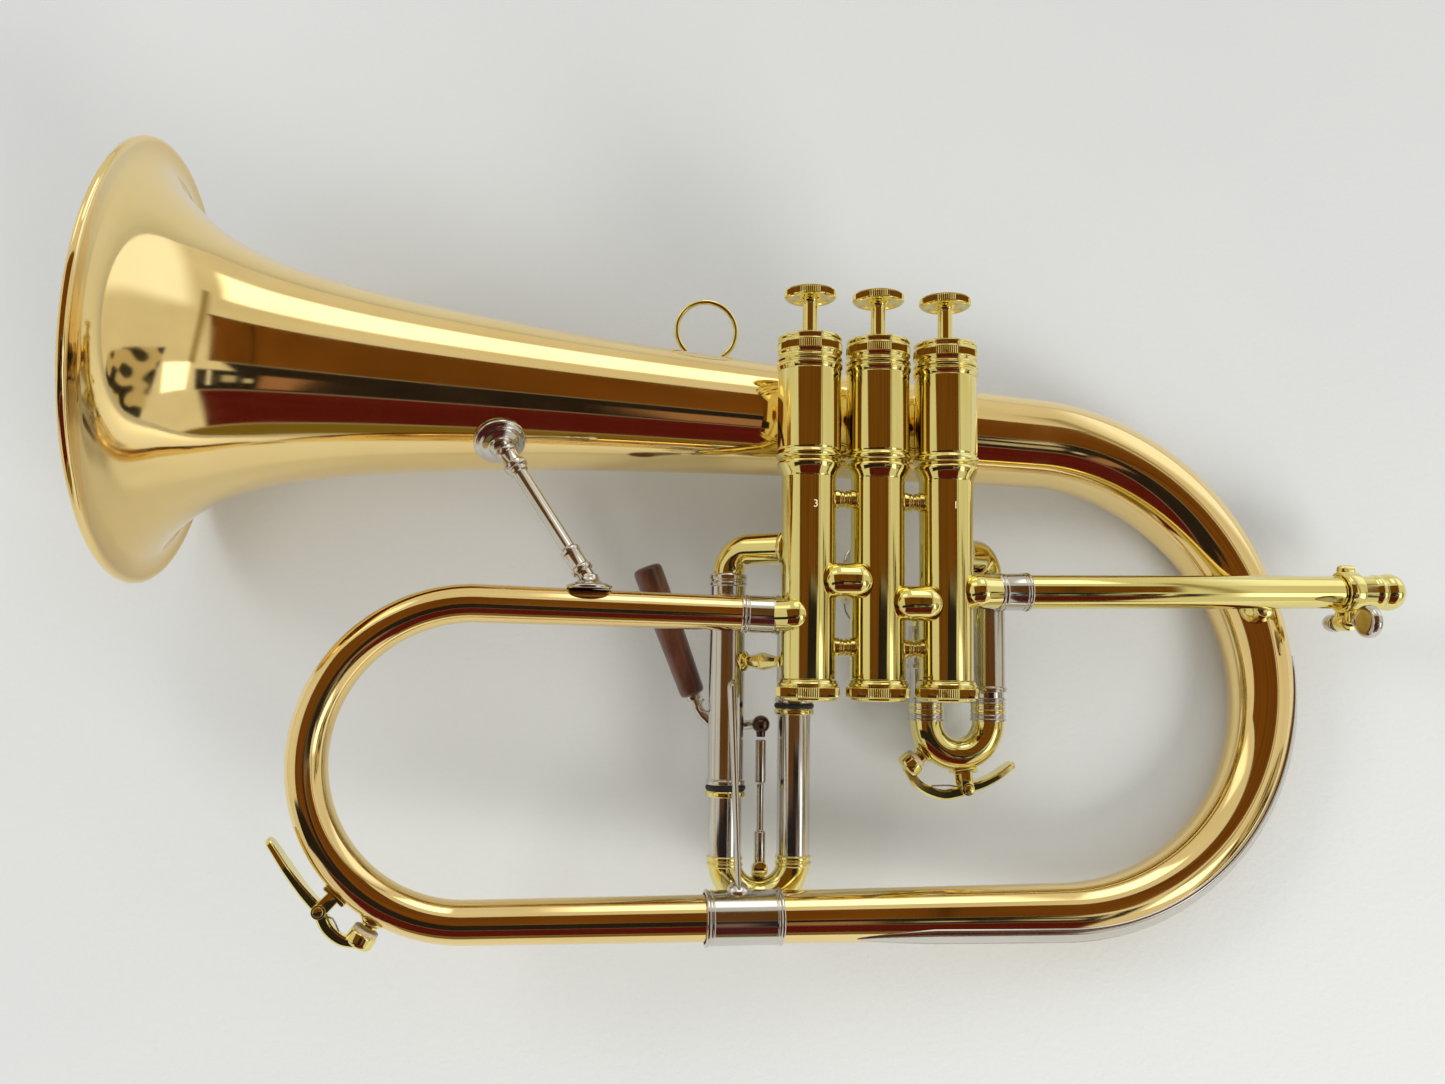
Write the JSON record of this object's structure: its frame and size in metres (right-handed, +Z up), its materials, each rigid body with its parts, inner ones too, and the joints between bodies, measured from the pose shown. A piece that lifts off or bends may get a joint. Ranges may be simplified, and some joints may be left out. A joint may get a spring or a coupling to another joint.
{
  "type": "flugelhorn",
  "caption": "Wide-bore conical brass horn with piston valves, a lever-driven third slide, tuning mouthpipe, finger ring and water keys, lying on its side.",
  "frame": {"origin": "on the table, under the middle of the horn's bounding box as it lies on its right side", "axes": "+Z up from the table, +X from the bell towards the mouthpiece, +Y from the lower bows towards the valve buttons"},
  "size_m": [0.4574, 0.273, 0.1502],
  "materials": {
    "gold_brass": "clear-lacquered gold brass, polished",
    "yellow_brass": "clear-lacquered yellow brass, polished",
    "nickel_silver": "polished nickel silver under clear lacquer",
    "spring_steel": "bare drawn spring wire",
    "walnut": "dark oiled walnut"
  },
  "bodies": {
    "horn": {"bell_flare": "gold_brass", "bell_back_bow": "gold_brass", "bell_ferrule": "nickel_silver", "front_bow": "gold_brass", "outlet_ferrule": "nickel_silver", "outlet_knuckle": "yellow_brass", "bow_guard": "nickel_silver", "finger_ring": "yellow_brass", "bell_brace": "nickel_silver", "leadpipe": "yellow_brass", "leadpipe_knuckle": "yellow_brass", "leadpipe_ferrule": "nickel_silver", "leadpipe_brace": "yellow_brass", "pitch_clamp": "yellow_brass", "valve_1_casing": "yellow_brass", "valve_1_top_cap": "yellow_brass", "valve_1_bottom_cap": "yellow_brass", "valve_1_spring": "spring_steel", "valve_2_casing": "yellow_brass", "valve_2_top_cap": "yellow_brass", "valve_2_bottom_cap": "yellow_brass", "valve_2_spring": "spring_steel", "valve_3_casing": "yellow_brass", "valve_3_top_cap": "yellow_brass", "valve_3_bottom_cap": "yellow_brass", "valve_3_spring": "spring_steel", "crossover_1_2": "yellow_brass", "crossover_2_3": "yellow_brass", "casing_spacer_1": "yellow_brass", "casing_spacer_2": "yellow_brass", "first_slide_elbow": "yellow_brass", "first_slide_port": "yellow_brass", "first_slide_right_sleeve": "nickel_silver", "first_slide_left_sleeve": "nickel_silver", "second_slide_sleeves": "nickel_silver", "third_slide_elbow": "yellow_brass", "third_slide_port": "yellow_brass", "third_slide_left_sleeve": "nickel_silver", "third_slide_right_sleeve": "nickel_silver", "third_slide_brace": "yellow_brass", "slide_stay": "nickel_silver", "trigger_bracket": "nickel_silver", "bow_water_key_saddle": "yellow_brass"},
    "mouthpipe": {"mouthpipe": "yellow_brass"},
    "clamp_screw": {"clamp_screw": "nickel_silver"},
    "valve_1": {"valve_1_piston": "nickel_silver", "valve_1_button": "yellow_brass"},
    "valve_2": {"valve_2_piston": "nickel_silver", "valve_2_button": "yellow_brass"},
    "valve_3": {"valve_3_piston": "nickel_silver", "valve_3_button": "yellow_brass"},
    "first_slide": {"first_slide": "yellow_brass", "slide_water_key_saddle": "yellow_brass"},
    "second_slide": {"second_slide": "yellow_brass"},
    "third_slide": {"third_slide": "nickel_silver"},
    "trigger": {"trigger_lever": "nickel_silver", "trigger_handle": "walnut"},
    "trigger_link": {"trigger_link": "nickel_silver"},
    "bow_water_key": {"bow_water_key": "yellow_brass"},
    "slide_water_key": {"slide_water_key": "yellow_brass"}
  },
  "joints": [
    {"name": "mouthpipe_pull", "type": "slide", "parent": "horn", "child": "mouthpipe", "axis": [0.9895, 0.0211, -0.1431], "range_m": [0, 0.025]},
    {"name": "clamp_screw_turn", "type": "hinge", "parent": "horn", "child": "clamp_screw", "pos_m": [0.20739, -0.02763, 0.02804], "axis": [0.1442, -0.2264, 0.9633], "continuous": true},
    {"name": "valve_1_press", "type": "slide", "parent": "horn", "child": "valve_1", "axis": [-0.0335, -0.974, -0.2239], "range_m": [0, 0.013], "stiffness_N_per_m": 150, "springref_m": -0.014},
    {"name": "valve_2_press", "type": "slide", "parent": "horn", "child": "valve_2", "axis": [-0.0335, -0.974, -0.2239], "range_m": [0, 0.013], "stiffness_N_per_m": 150, "springref_m": -0.014},
    {"name": "valve_3_press", "type": "slide", "parent": "horn", "child": "valve_3", "axis": [-0.0335, -0.974, -0.2239], "range_m": [0, 0.013], "stiffness_N_per_m": 150, "springref_m": -0.014},
    {"name": "first_slide_pull", "type": "slide", "parent": "horn", "child": "first_slide", "axis": [-0.0335, -0.974, -0.2239], "range_m": [0, 0.012]},
    {"name": "second_slide_pull", "type": "slide", "parent": "horn", "child": "second_slide", "axis": [-0.1442, 0.2264, -0.9633], "range_m": [0, 0.008]},
    {"name": "third_slide_pull", "type": "slide", "parent": "horn", "child": "third_slide", "axis": [-0.0335, -0.974, -0.2239], "range_m": [0, 0.0074], "stiffness_N_per_m": 200, "springref_m": -0.01},
    {"name": "trigger_swing", "type": "hinge", "parent": "horn", "child": "trigger", "pos_m": [-0.01976, -0.06018, 0.02366], "axis": [0.1442, -0.2264, 0.9633], "range_deg": [-38, 0]},
    {"name": "trigger_link_swing", "type": "hinge", "parent": "third_slide", "child": "trigger_link", "pos_m": [-0.00868, -0.10916, 0.02066], "axis": [0.1442, -0.2264, 0.9633], "range_deg": [-0.5, 2]},
    {"name": "bow_water_key_press", "type": "hinge", "parent": "horn", "child": "bow_water_key", "pos_m": [-0.14729, -0.12089, 0.05796], "axis": [0.1442, -0.2264, 0.9633], "range_deg": [-9, 0], "stiffness_Nm_per_rad": 0.12, "springref_deg": 20.05},
    {"name": "slide_water_key_press", "type": "hinge", "parent": "first_slide", "child": "slide_water_key", "pos_m": [0.0657, -0.08272, 0.01657], "axis": [0.1442, -0.2264, 0.9633], "range_deg": [0, 9], "stiffness_Nm_per_rad": 0.12, "springref_deg": -20.05}
  ],
  "couplings": [
    {"joint": "trigger_swing", "follows": "third_slide_pull", "rad_per_m": -89},
    {"joint": "trigger_link_swing", "follows": "third_slide_pull", "rad_per_m": 4.1}
  ]
}
